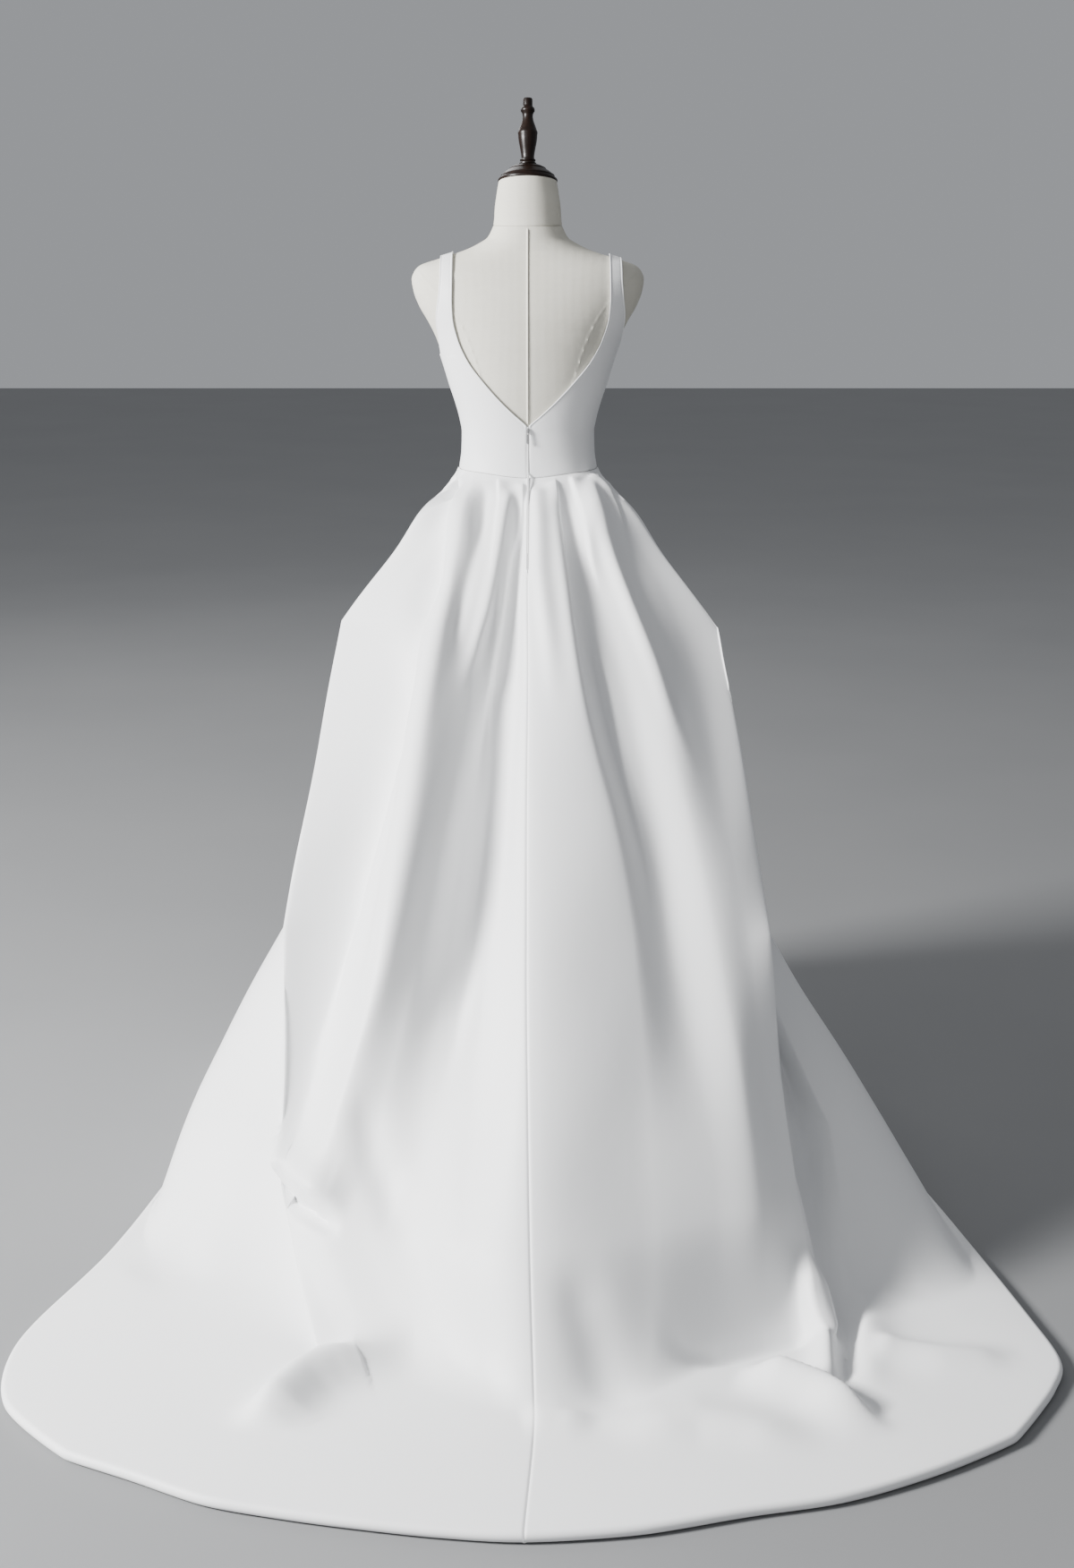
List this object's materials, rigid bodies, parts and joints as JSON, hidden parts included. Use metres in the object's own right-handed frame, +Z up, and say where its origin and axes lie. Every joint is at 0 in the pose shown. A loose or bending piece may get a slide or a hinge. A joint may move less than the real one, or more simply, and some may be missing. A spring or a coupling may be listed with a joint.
{
  "type": "wedding dress on a dress form",
  "caption": "White satin wedding gown with a V back, narrow straps, pleated full skirt and long train, worn by a limbless dress form on a stand.",
  "frame": {"origin": "centre of the underside of the stand's base, on the floor", "axes": "+Z up, the wearer faces -Y, the train runs towards +Y, the wearer's left is +X"},
  "size_m": [1.469, 2.0106, 1.742],
  "materials": {
    "gown_satin": "smooth matte satin with a soft sheen, pure white",
    "linen_cover": "cream linen cloth stretched over the form",
    "turned_wood": "dark brown turned wood, satin varnish",
    "zip_tape": "white closed zip coil",
    "zip_metal": "white lacquered metal",
    "base_enamel": "pale enamel",
    "pole_steel": "brushed steel"
  },
  "bodies": {
    "root": {"stand_base": "base_enamel", "stand_pole": "pole_steel", "form_torso": "linen_cover", "form_neck": "linen_cover", "neck_cap": "turned_wood", "finial": "turned_wood", "bodice_back_left": "gown_satin", "bodice_front_left": "gown_satin", "bodice_back_right": "gown_satin", "bodice_front_right": "gown_satin", "skirt_back_left": "gown_satin", "skirt_back_right": "gown_satin", "skirt_front": "gown_satin", "zip_coil": "zip_tape", "zip_slider": "zip_metal"},
    "zip_pull": {"zip_pull": "zip_metal"}
  },
  "joints": [
    {"name": "zip_pull", "type": "hinge", "parent": "root", "child": "zip_pull", "pos_m": [0, 0.08701, 1.1978], "axis": [1, 0, 0], "range_deg": [0, 135]}
  ]
}
